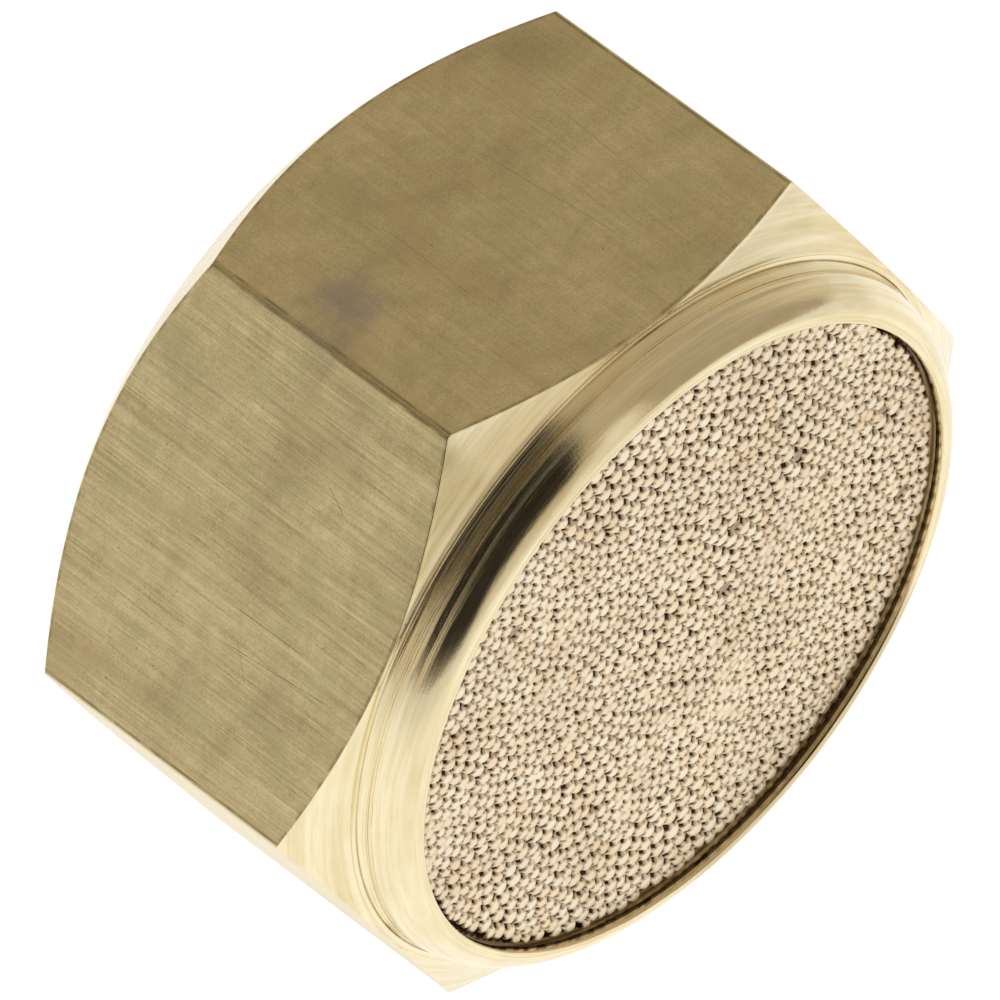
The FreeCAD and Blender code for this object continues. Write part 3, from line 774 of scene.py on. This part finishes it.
# the front skin faces -Y, the back skin +Y
front_tris = f_tris
back_tris = b_tris[:, ::-1] + nf
disc_quads = np.vstack([band(0, w[0])[:, ::-1], band(w[0], w[1])[:, ::-1], band(w[1], w[2])[:, ::-1], band(w[2], nf)[:, ::-1]])
plain = np.zeros(RIM * 3)
disc = tri_mesh(
    "sintered_disc", disc_v, [np.vstack([front_tris, back_tris]), disc_quads], [bronze], None,
    {"pore": ("FLOAT", np.concatenate([f_pore, b_pore, plain + 0.3])), "grain": ("FLOAT", np.concatenate([f_tint, b_tint, plain + 0.5]))},
)
t3 = disc_v[np.vstack([front_tris, back_tris])]
q3 = disc_v[disc_quads]
vol = np.einsum("ij,ij->i", t3[:, 0], np.cross(t3[:, 1], t3[:, 2])).sum() / 6
vol += sum(np.einsum("ij,ij->i", q3[:, a], np.cross(q3[:, b], q3[:, c])).sum() / 6 for a, b, c in ((0, 1, 2), (0, 2, 3)))
if vol < 0:
    disc.data.flip_normals()
print("disc: %d triangles, volume %.1f mm3" % (len(front_tris) + len(back_tris) + 2 * len(disc_quads), vol))
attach(disc, "root")
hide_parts("sinter_disc")

# ================================================================== floor, light and camera
floor_mesh = bpy.data.meshes.new("floor")
half = 4.0
z = -FLAT * MM - 0.00001
floor_mesh.from_pydata([(-half, -half, z), (half, -half, z), (half, half, z), (-half, half, z)], [], [(0, 1, 2, 3)])
floor = bpy.data.objects.new("floor", floor_mesh)
bpy.context.scene.collection.objects.link(floor)
fm, t = material("pale_floor")
# the floor glows: a painted pool of light, brightest round the part, softer further away
near = t.node("ShaderNodeVectorMath", {0: t.node("ShaderNodeTexCoord").outputs["Object"]}, operation="LENGTH").outputs["Value"]
base = t.node("ShaderNodeBsdfPrincipled", {"Base Color": (0.22, 0.22, 0.22, 1), "Roughness": 0.7, "Specular IOR Level": 0.1,
                                           "Emission Color": (1, 0.998, 0.99, 1), "Emission Strength": t.ramp(near, 0.018, 0.11, 0.98, 0.72)})
t.node("ShaderNodeOutputMaterial", {"Surface": base.outputs[0]})
floor_mesh.materials.append(fm)

world = bpy.data.worlds.new("studio")
bpy.context.scene.world = world
world.use_nodes = True
t = Tree(world.node_tree)
direction = t.node("ShaderNodeTexCoord").outputs["Generated"]


def soft_box(centre, inner, outer):
    c = np.array(centre, float)
    c /= np.linalg.norm(c)
    dot = t.node("ShaderNodeVectorMath", {0: direction, 1: tuple(c)}, operation="DOT_PRODUCT").outputs["Value"]
    return t.ramp(dot, math.cos(math.radians(outer)), math.cos(math.radians(inner)))


def between(value, lo, hi, soft):
    """1 between two angles in degrees, with soft edges."""
    return t.math("MULTIPLY", t.ramp(value, lo - soft, lo + soft), t.ramp(value, hi - soft, hi + soft, 1.0, 0.0))


def blend(a, b, amount):
    """a where the amount is 0, the fixed level b where it is 1."""
    return t.math("MULTIPLY_ADD", amount, t.math("SUBTRACT", b, a), a)


axes = t.node("ShaderNodeSeparateXYZ", {0: direction}).outputs
turn_deg = t.math("MULTIPLY", t.math("ARCTAN2", axes[0], t.math("MULTIPLY", axes[1], -1.0)), 57.2958)
rise_deg = t.math("MULTIPLY", t.math("ARCSINE", axes[2]), 57.2958)
level = t.ramp(rise_deg, 0.0, 50.0, 0.72, 0.50)
level = blend(level, 0.42, t.math("MULTIPLY", between(turn_deg, 20, 77, 5), t.ramp(rise_deg, 42, 66, 1.0, 0.0)))
level = blend(level, 0.66, t.math("MULTIPLY", between(turn_deg, -130, -60, 8), t.ramp(rise_deg, 30, 60, 1.0, 0.6)))
level = blend(level, 0.26, soft_box((-0.55, 0.05, 0.85), 12, 32))
level = blend(level, 0.85, t.math("MULTIPLY", between(turn_deg, 4, 19, 4), t.ramp(rise_deg, 36, 52, 1.0, 0.0)))
# a dark panel, as a band round the Y axis
round_deg = t.math("ARCTAN2", axes[2], axes[0])
round_deg = t.math("MULTIPLY", round_deg, 57.2958)
round_deg = t.math("ADD", round_deg, t.math("MULTIPLY", t.math("LESS_THAN", round_deg, -90.0), 360.0))
start_edge = t.ramp(round_deg, 93, 99)
frame_part = t.math("MULTIPLY", start_edge, t.ramp(round_deg, 144, 170, 1.0, 0.0))
level = blend(level, 0.12, t.math("MULTIPLY", frame_part, t.math("MULTIPLY", t.ramp(axes[1], -0.30, -0.20), t.ramp(axes[1], 0.50, 0.62, 1.0, 0.0))))
panel = t.math("MULTIPLY", start_edge, t.ramp(round_deg, 166, 194, 1.0, 0.0))
level = blend(level, 0.02, t.math("MULTIPLY", panel, t.math("MULTIPLY", t.ramp(axes[1], -0.90, -0.82), t.ramp(axes[1], -0.32, -0.22, 1.0, 0.0))))
# the darker parts of the room are warm
tone = t.mix(t.ramp(level, 0.55, 0.95), (1.0, 0.87, 0.68), (1.0, 0.995, 0.985))
sky = t.node("ShaderNodeBackground", {"Color": tone, "Strength": level})
t.node("ShaderNodeOutputWorld", {"Surface": sky.outputs[0]})

# the camera
AZ, EL = math.radians(-45.15), math.radians(47.97)
back_v = Vector((math.sin(AZ) * math.cos(EL), -math.cos(AZ) * math.cos(EL), math.sin(EL)))
right_v = Vector((math.cos(AZ), math.sin(AZ), 0.0))
up_v = back_v.cross(right_v)
place = (right_v * -0.1050 + up_v * 0.0835 + back_v * 51.596) * (FLAT * MM) + Vector((0, -0.0058, 0))
cam = bpy.data.objects.new("camera", bpy.data.cameras.new("camera"))
bpy.context.scene.collection.objects.link(cam)
cam.matrix_world = Matrix(
    (
        (right_v.x, up_v.x, back_v.x, place.x),
        (right_v.y, up_v.y, back_v.y, place.y),
        (right_v.z, up_v.z, back_v.z, place.z),
        (0, 0, 0, 1),
    )
)
cam.data.sensor_width = 36.0
cam.data.lens = 774.57
cam.data.clip_start, cam.data.clip_end = 0.02, 50.0
bpy.context.scene.camera = cam
bpy.context.scene.view_settings.view_transform = "Standard"
